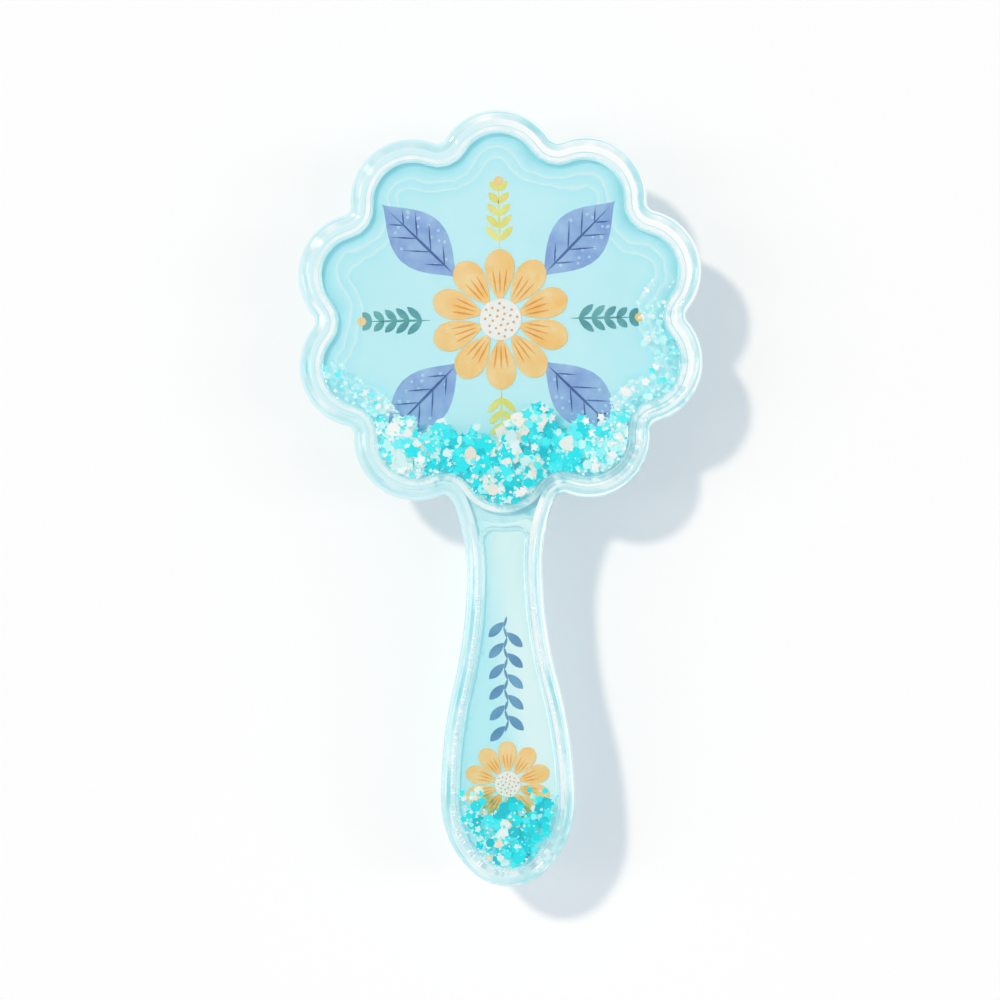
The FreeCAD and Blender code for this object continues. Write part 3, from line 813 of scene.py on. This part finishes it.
drawRosette(headMiddle, 1.0)
drawRosette(Vector((0, rosette["handleY"])), rosette["handleScale"])
for quarter in range(4):
    turn = quarter * math.pi / 2
    drawLeaf(along(headMiddle, leaf["reach"], turn + math.pi / 4), turn + math.pi / 4)
    drawSprig("sprigYellow" if quarter % 2 else "sprigTeal", headMiddle, turn)
drawVine()
for name, (layer, dark, light) in inks.items():
    finish = solidFinish(name, dark, light, inkFilm["grain"], inkFilm["rough"], inkFilm["bump"], inOil)
    piece = finishPiece(name, inkMeshes[name], finish, sharp=0, closed=False)
    thicken(piece, "ink", inkFilm["thickness"])
print("print made")


# Glitter: thin foil shapes heaped in the oil
lobes = [lobe(index) for index in range(outline["lobes"])]
valleys = [valley(index) for index in range(outline["lobes"])]
shoulder, heel = handleSide()[0], handleEnd()


def apart(point, spot):
    return (point - spot.centre.xy).length


def insideHead(point, margin):   # in a lobe, or behind the line from a lobe's centre to a valley's
    wall = outline["headWall"] + margin
    lobeSpot = min(lobes, key=lambda spot: apart(point, spot))
    if apart(point, lobeSpot) < lobeSpot.reach - wall:
        return True
    valleySpot = min(valleys, key=lambda spot: apart(point, spot))
    line = valleySpot.centre.xy - lobeSpot.centre.xy
    sides = [line.cross(spot - lobeSpot.centre.xy) for spot in (point, headMiddle)]
    return sides[0] * sides[1] > 0 and apart(point, valleySpot) > wall - valleySpot.reach


def insideHandle(point, margin):
    wall = outline["handleWall"] + margin
    if point.y < heel.centre.y:
        return apart(point, heel) < heel.reach - wall
    return apart(Vector((abs(point.x), point.y)), shoulder) < shoulder.reach - wall


glitter = {
    "thickness": 0.07, "clear": 0.25, "tilt": 9.0, "depth": 1.8, "gap": 0.1,
    "wallReach": 6.0, "wallShare": {"teal": 0.6, "pearl": 0.7}, "wallSize": {"teal": 1.0, "pearl": 1.2},
    "driftStep": 24.0, "thinned": {"teal": (1.0, 0.5), "pearl": (0.1, 1.0)},   # share between and in drifts
    "paleFrom": 11.0, "paleReach": 14.0, "paleTone": 0.45,
    "head": {
        "seed": 31, "inside": insideHead, "low": -3.0, "high": 50.0, "half": 42.0, "drift": 1.5,
        "heap": 14.5, "mound": 7.0, "moundX": 7.0, "moundHalf": 4.0, "ripple": 1.6, "rippleTurn": 0.8,
        "rippleStart": 0.0, "lift": 6.0, "liftHalf": 33.0,
    },
    "handle": {
        "seed": 32, "inside": insideHandle, "low": -85.0, "high": -64.0, "half": 12.0, "drift": -6.0,
        "heap": -69.5, "mound": 0.0, "moundX": 0.0, "moundHalf": 1.0, "ripple": 1.4, "rippleTurn": 0.9,
        "rippleStart": 1.0, "lift": 0.0, "liftHalf": 1.0,
    },
}
flakeLots = {   # lots of (count, radii, corners, share of the radius at every other corner, tones)
    ("head", "teal"): [
        (330, (1.1, 2.0), 10, 0.6, (0.0, 0.5)), (220, (0.6, 1.2), 6, 0, (0.1, 1.0)),
        (350, (0.4, 0.8), 10, 0.5, (0.2, 1.0)), (500, (0.15, 0.4), 4, 0, (0.2, 1.0))],
    ("head", "pearl"): [
        (150, (1.0, 2.2), 6, 0.8, (0.0, 1.0)), (170, (0.6, 1.4), 10, 0.6, (0.3, 1.0)),
        (560, (0.15, 0.5), 4, 0, (0.3, 1.0))],
    ("handle", "teal"): [
        (45, (1.0, 1.7), 6, 0, (0.0, 0.45)), (60, (0.8, 1.5), 10, 0.65, (0.0, 0.6)),
        (60, (0.4, 0.9), 6, 0.8, (0.2, 1.0)), (120, (0.15, 0.35), 4, 0, (0.2, 1.0))],
    ("handle", "pearl"): [
        (26, (0.8, 1.5), 6, 0.8, (0.0, 1.0)), (24, (0.5, 0.9), 10, 0.6, (0.2, 1.0)),
        (110, (0.15, 0.4), 4, 0, (0.3, 1.0))],
}
wallTops = {   # how far up the left and right wall flakes cling
    ("head", "teal"): (31.0, 44.0), ("head", "pearl"): (28.0, 49.0),
    ("handle", "teal"): (-66.0, -66.0), ("handle", "pearl"): (-66.0, -66.0),
}


def heapTop(lot, x):   # height of the heap over the chamber's width
    mound = lot["mound"] * math.exp(-((x - lot["moundX"]) / lot["moundHalf"]) ** 2)
    ripple = lot["ripple"] * math.sin(lot["rippleTurn"] * x + lot["rippleStart"])
    return lot["heap"] + mound + ripple + lot["lift"] * (x / lot["liftHalf"]) ** 2


def drift(place, kind, x):   # share of flakes that settle at x: the pearl ones gather in drifts
    between, within = glitter["thinned"][kind]
    wave = 0.5 + 0.5 * math.cos(2 * math.pi * (x - glitter[place]["drift"]) / glitter["driftStep"])
    return between + (within - between) * wave


def paling(x):   # the flakes are paler to the sides, where the heap is thin
    return glitter["paleTone"] * min(1, max(0, abs(x) - glitter["paleFrom"]) / glitter["paleReach"])


def flakeSpot(place, kind, chance, radius):
    lot = glitter[place]
    leftTop, rightTop = wallTops[place, kind]
    while True:
        point = Vector((chance.uniform(-lot["half"], lot["half"]), chance.uniform(lot["low"], lot["high"])))
        if not lot["inside"](point, radius + glitter["gap"]) or chance.random() > drift(place, kind, point.x):
            continue
        if point.y > heapTop(lot, point.x):
            wallTop = leftTop if point.x < 0 else rightTop
            nearWall = not lot["inside"](point, radius + glitter["wallReach"])
            if point.y > wallTop or not nearWall or chance.random() > glitter["wallShare"][kind]:
                continue
            if radius > glitter["wallSize"][kind]:
                continue
        return point


def addFlake(bm, tones, spot, radius, corners, starry, tilt, spin, tone):
    turn = Matrix.Rotation(spin, 4, "Z") @ Matrix.Rotation(tilt, 4, "X")
    made = bmesh.ops.create_circle(bm, cap_ends=True, segments=corners, radius=radius)["verts"]
    if starry:
        for vert in made[1::2]:
            vert.co *= starry
    bmesh.ops.transform(bm, matrix=Matrix.Translation(spot) @ turn, verts=made)
    for face in made[0].link_faces:
        face[tones] = tone


def makeGlitter(place, kind):
    chance = random.Random(f"{glitter[place]['seed']} {kind}")
    bm = bmesh.new()
    tones = bm.faces.layers.float.new("tone")
    for count, sizes, corners, starry, toneRange in flakeLots[place, kind]:
        for index in range(count):
            radius = chance.uniform(*sizes)
            point = flakeSpot(place, kind, chance, radius)
            tilt = math.radians(chance.gauss(0, glitter["tilt"]))
            clear = glitter["clear"] + radius * abs(math.sin(tilt))
            depth = min(chance.expovariate(1 / glitter["depth"]), oilHigh - oilLow - 2 * clear)
            spot = point.to_3d() + Vector((0, 0, oilHigh - clear - depth))
            spin = chance.uniform(0, 2 * math.pi)
            tone = min(1, chance.uniform(*toneRange) + paling(point.x))
            addFlake(bm, tones, spot, radius, corners, starry, tilt, spin, tone)
    piece = finishPiece(f"{place}Glitter{kind.title()}", bm, foils[kind],
                        nodes=[f"{place}_glitter_{kind}"], sharp=0, closed=False)
    thicken(piece, "foil", glitter["thickness"])


for place, kind in flakeLots:
    makeGlitter(place, kind)
print("glitter made")


# Rubber air cushion: a six-sided cell of skin round each pin's collar, then the shoulder, side and flange
cushion = {
    "face": 15.0, "wall": 1.5, "crown": 0.4, "faceRound": 27.7, "shoulder": 4.0, "fill": 0.9,
    "pitch": 8.5, "cellSteps": 24, "foot": 2.7, "fillet": ((2.2, 0.1), (2.0, 0.3)),   # radius and drop
    "collar": 0.7, "collarRound": 2.0, "lip": 0.15, "hole": 1.15, "vent": 0.8,
    "rimSteps": 96, "fillCuts": 2, "outerMeet": 30.7, "innerMeet": 30.05,
    "outerTurns": (56, 64, 73, 81, 90), "innerTurns": (90, 80, 70.05), "sideSteps": (0.7, 1.4),
    "flangeLow": 21.0, "flangeHigh": 22.2, "flangeRound": 34.2, "flangeEdge": 0.2,
    "flangeFillet": ((0.12, 0.2), (0.35, 0.0)),   # how far out, and how far below the flange
    "skinSplit": 0.5,   # rise over the face that parts outer from inner skin
    "cellGap": 0.01, "rimGap": 0.05,   # vertices nearer than this become one
}


def moveRing(verts, centre, reach, z):   # reach is a radius, or None for the cell's own six sides
    for vert in verts:
        turn = math.atan2(vert.co.y - centre.y, vert.co.x - centre.x)
        lean = (turn + math.pi / 6) % (math.pi / 3) - math.pi / 6
        radius = reach or cushion["pitch"] / 2 / math.cos(lean)
        vert.co = (centre.x + radius * math.cos(turn), centre.y + radius * math.sin(turn), z)


def drawRings(bm, edges, centre, rings):
    for reach, z in rings:
        verts, edges = ringOf(bmesh.ops.extrude_edge_only(bm, edges=edges)["geom"])
        moveRing(verts, centre, reach, z)
    return edges


def addCircle(bm, centre, reach, z, steps):
    verts = bmesh.ops.create_circle(bm, segments=steps, radius=1)["verts"]
    bmesh.ops.translate(bm, vec=centre.to_3d(), verts=verts)
    edges = list({edge for vert in verts for edge in vert.link_edges})
    moveRing(verts, centre, reach, z)
    return edges


def addCell(bm, centre):   # outer skin, collar, pin hole and inner skin round one pin
    face, foot, hole, lip = cushion["face"], cushion["foot"], cushion["hole"], cushion["lip"]
    tip, inner = face - cushion["collar"], face + cushion["wall"]
    collar = cushion["collarRound"]
    edges = addCircle(bm, centre, None, face, cushion["cellSteps"])
    rings = [(foot, face)] + [(reach, face - drop) for reach, drop in cushion["fillet"]]
    rings += [(collar, tip + lip), (collar - lip, tip), (hole + lip, tip), (hole, tip + lip)]
    rings += [(hole, inner), (foot, inner), (None, inner)]
    drawRings(bm, edges, centre, rings)


def fillToRim(bm, z, reach):   # the skin between the outermost cells and the shoulder
    border = [edge for edge in bm.edges if edge.is_boundary
              and all(abs(vert.co.z - z) < cushion["cellGap"] for vert in edge.verts)]
    rim = addCircle(bm, headMiddle, reach, z, cushion["rimSteps"])
    made = bmesh.ops.triangle_fill(bm, use_beauty=True, edges=border + rim)["geom"]
    faces = {item for item in made if isinstance(item, bmesh.types.BMFace)}
    inside = [edge for edge in {edge for face in faces for edge in face.edges}
              if len(edge.link_faces) == 2 and faces.issuperset(edge.link_faces)]
    bmesh.ops.subdivide_edges(bm, edges=inside, cuts=cushion["fillCuts"], use_grid_fill=True)
    return rim


def openVent(bm):   # a round hole through both skins, where three cells meet
    spot = Vector((0, headY + cushion["pitch"] / math.sqrt(3)))
    corners = [vert for vert in bm.verts if (vert.co.xy - spot).length < cushion["cellGap"]]
    made = bmesh.ops.bevel(bm, geom=corners, offset=cushion["vent"], offset_type="OFFSET", segments=1,
                           profile=0.5, affect="VERTICES", material=-1)["faces"]
    lids = sorted(made, key=lambda face: face.calc_center_median().z)[:2]
    for lid in lids:
        cut = bmesh.ops.subdivide_edges(bm, edges=lid.edges, cuts=1)["geom_inner"]
        for vert in ringOf(cut)[0]:
            vert.co.xy = spot + (vert.co.xy - spot).normalized() * cushion["vent"]
    edges = list(lids[0].edges)
    bmesh.ops.delete(bm, geom=lids, context="FACES_ONLY")
    wall = bmesh.ops.extrude_edge_only(bm, edges=edges)["geom"]
    bmesh.ops.translate(bm, vec=(0, 0, cushion["wall"]), verts=ringOf(wall)[0])
    bmesh.ops.remove_doubles(bm, verts=bm.verts, dist=cushion["cellGap"])


def roundShoulder(vert):   # crowns the face, and bends both skins down to the shoulder
    reach = (vert.co.xy - headMiddle).length
    over = reach - cushion["faceRound"]
    outer = vert.co.z < cushion["face"] + cushion["skinSplit"]
    radius = cushion["shoulder"] if outer else cushion["shoulder"] - cushion["wall"]
    if over > 0:
        vert.co.z += radius - math.sqrt(radius ** 2 - over ** 2)
    else:
        vert.co.z -= cushion["crown"] * (1 - (reach / cushion["faceRound"]) ** 2)


def shoulderRings(radius, z, degrees):
    turns = [math.radians(turn) for turn in degrees]
    return [(cushion["faceRound"] + radius * math.sin(turn), z - radius * math.cos(turn)) for turn in turns]


def sideRings():   # down the shoulder, along the flange and back up the inside
    shoulder, wall, bend = cushion["shoulder"], cushion["wall"], cushion["flangeEdge"]
    low, high, edge = cushion["flangeLow"], cushion["flangeHigh"], cushion["flangeRound"]
    sideZ = cushion["face"] + shoulder
    side = cushion["faceRound"] + shoulder
    inside = side - wall
    rings = shoulderRings(shoulder, sideZ, cushion["outerTurns"])
    rings += [(side, sideZ + rise) for rise in cushion["sideSteps"]]
    rings += [(side + out, low - below) for out, below in cushion["flangeFillet"]]
    rings += [(edge - bend, low), (edge, low + bend), (edge, high - bend), (edge - bend, high)]
    rings.append((inside, high))
    rings += [(inside, sideZ + rise) for rise in reversed(cushion["sideSteps"])]
    return rings + shoulderRings(shoulder - wall, sideZ, cushion["innerTurns"])


def makeCushion():
    bm = bmesh.new()
    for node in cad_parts:
        if node.startswith("bristle_pin"):
            addCell(bm, middle(node).xy)
    bmesh.ops.remove_doubles(bm, verts=bm.verts, dist=cushion["cellGap"])
    outerRim = fillToRim(bm, cushion["face"], cushion["outerMeet"])
    innerRim = fillToRim(bm, cushion["face"] + cushion["wall"], cushion["innerMeet"])
    openVent(bm)
    for vert in bm.verts:
        roundShoulder(vert)
    lastRim = drawRings(bm, outerRim, headMiddle, sideRings())
    meeting = {vert for edge in lastRim + innerRim for vert in edge.verts}
    bmesh.ops.remove_doubles(bm, verts=list(meeting), dist=cushion["rimGap"])
    piece = finishPiece("airCushion", bm, rubber, body=None, nodes=["air_cushion"], sharp=50)
    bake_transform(piece)


makeCushion()
print("cushion made")


# Pieces that keep the frame's own shape
keptFinish = {
    "head_chamber_plate": acrylic, "handle_chamber_plate": acrylic, "head_fill_plug": acrylic,
    "handle_fill_plug": acrylic, "back_shell": shellAqua, "cushion_clamp": shellAqua,
}
keptFinish.update({node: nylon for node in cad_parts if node.startswith("bristle_pin")})
for node, finish in keptFinish.items():
    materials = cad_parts[node].data.materials
    materials.clear()
    materials.append(finish)
print("frame's own pieces finished")


# Stage, light and camera
stage = {
    "floorSize": 4.0, "floorTones": ((251, 251, 251), (253, 253, 253)), "floorGrain": (3.0, 60.0),
    "floorRough": (0.8, 0.9), "floorBump": (0.0, 0.001), "floorGlow": 0.3,
    "keyTravel": (14.7, -12.7, -30.0), "keyStrength": 1.66, "keyAngle": 4.5, "keyColour": (1.0, 0.84, 0.66),
    "boxSize": (0.48, 2.0), "boxPlace": (1.8, 0.0, 2.2), "boxPower": 9.04,
    "ambient": (0.76, 0.34), "ambientColour": (0.863, 1.0, 1.17, 1),   # at the horizon and overhead
    "overhead": 0.3, "overheadSpan": (0.7, 0.97),   # level and place of the dimmer white overhead
    "aim": (-0.75, -0.43), "turn": -0.9, "frameWidth": 226.1, "frameZ": 33.0, "distance": 1000.0,
    "sensor": 36.0,
}


def seenRay(tree):   # 1 for what the camera sees, also in gloss and through glass
    path = addNode(tree, "LightPath")
    seen = path.outputs["Is Camera Ray"]
    for ray in ("Is Glossy Ray", "Is Transmission Ray"):
        seen = addMath(tree, "MAXIMUM", seen, path.outputs[ray])
    return seen


def makeFloor():
    bm = bmesh.new()
    bmesh.ops.create_grid(bm, x_segments=1, y_segments=1, size=stage["floorSize"] / 2)
    mesh = bpy.data.meshes.new("floor")
    bm.to_mesh(mesh)
    bm.free()
    floor = addToScene("floor", mesh)
    paint = solidFinish("paleFloor", *stage["floorTones"], stage["floorGrain"], stage["floorRough"],
                        stage["floorBump"], inOil)
    tree = paint.node_tree
    glow = addNode(tree, "Emission", {"Color": (1, 1, 1, 1)})
    share = addMath(tree, "MULTIPLY", seenRay(tree), stage["floorGlow"])
    lit = mixShaders(tree, share, tree.nodes["Principled BSDF"], glow)
    below = addNode(tree, "NewGeometry").outputs["Backfacing"]
    clear = addNode(tree, "BsdfTransparent")
    side = mixShaders(tree, below, lit, clear)   # clear from below, to show the pins
    tree.links.new(side.outputs[0], tree.nodes["Material Output"].inputs["Surface"])
    mesh.materials.append(paint)


def makeLights():
    key = bpy.data.lights.new("key", "SUN")
    key.energy = stage["keyStrength"]
    key.angle = math.radians(stage["keyAngle"])
    key.color = stage["keyColour"]
    lamp = addToScene("key", key)
    lamp.rotation_euler = Vector(stage["keyTravel"]).to_track_quat("-Z", "Y").to_euler()
    for side in (-1, 1):
        box = bpy.data.lights.new("softbox", "AREA")
        box.shape = "RECTANGLE"
        box.size, box.size_y = stage["boxSize"]
        box.energy = stage["boxPower"]
        lamp = addToScene("softbox", box)
        lamp.location = Vector(stage["boxPlace"]) * Vector((side, 1, 1))
        lamp.rotation_euler = (-lamp.location).to_track_quat("-Z", "Y").to_euler()


def makeWorld():
    world = bpy.data.worlds.new("studio")
    bpy.context.scene.world = world
    world.use_nodes = True
    tree = world.node_tree
    soft = tree.nodes["Background"]
    soft.inputs["Color"].default_value = stage["ambientColour"]
    toward = addNode(tree, "TexCoord").outputs["Generated"]
    rise = addNode(tree, "SeparateXYZ", Vector=toward).outputs["Z"]
    horizon, zenith = stage["ambient"]   # more from the sides, which lights the pins under the head
    around = addRange(tree, rise, {"To Min": horizon, "To Max": zenith})
    tree.links.new(around, soft.inputs["Strength"])
    start, end = stage["overheadSpan"]
    fade = addRange(tree, rise, {"From Min": start, "From Max": end, "To Min": 1.0,
                                 "To Max": stage["overhead"]})
    camera = addNode(tree, "LightPath").outputs["Is Camera Ray"]
    level = addMath(tree, "MAXIMUM", camera, fade)
    white = addNode(tree, "Background", {"Color": (1, 1, 1, 1)}, Strength=level)
    mix = mixShaders(tree, seenRay(tree), soft, white)
    tree.links.new(mix.outputs[0], tree.nodes["World Output"].inputs["Surface"])


def makeCamera():
    lens = bpy.data.cameras.new("camera")
    lens.sensor_width = stage["sensor"]
    lens.lens = stage["sensor"] * (stage["distance"] - stage["frameZ"]) / stage["frameWidth"]
    camera = addToScene("camera", lens)
    camera.location = Vector((*stage["aim"], stage["distance"])) * mm
    camera.rotation_euler = (0, 0, math.radians(stage["turn"]))
    bpy.context.scene.camera = camera


makeFloor()
makeLights()
makeWorld()
makeCamera()
scene = bpy.context.scene
scene.view_settings.view_transform = "Standard"
scene.cycles.max_bounces = 48   # light runs far inside the clear wall before it comes out
scene.cycles.transmission_bounces = 40
scene.cycles.transparent_max_bounces = 32
scene.cycles.glossy_bounces = 40
scene.cycles.caustics_reflective = False
scene.cycles.caustics_refractive = False
scene.cycles.use_denoising = True
print("stage, light and camera set")
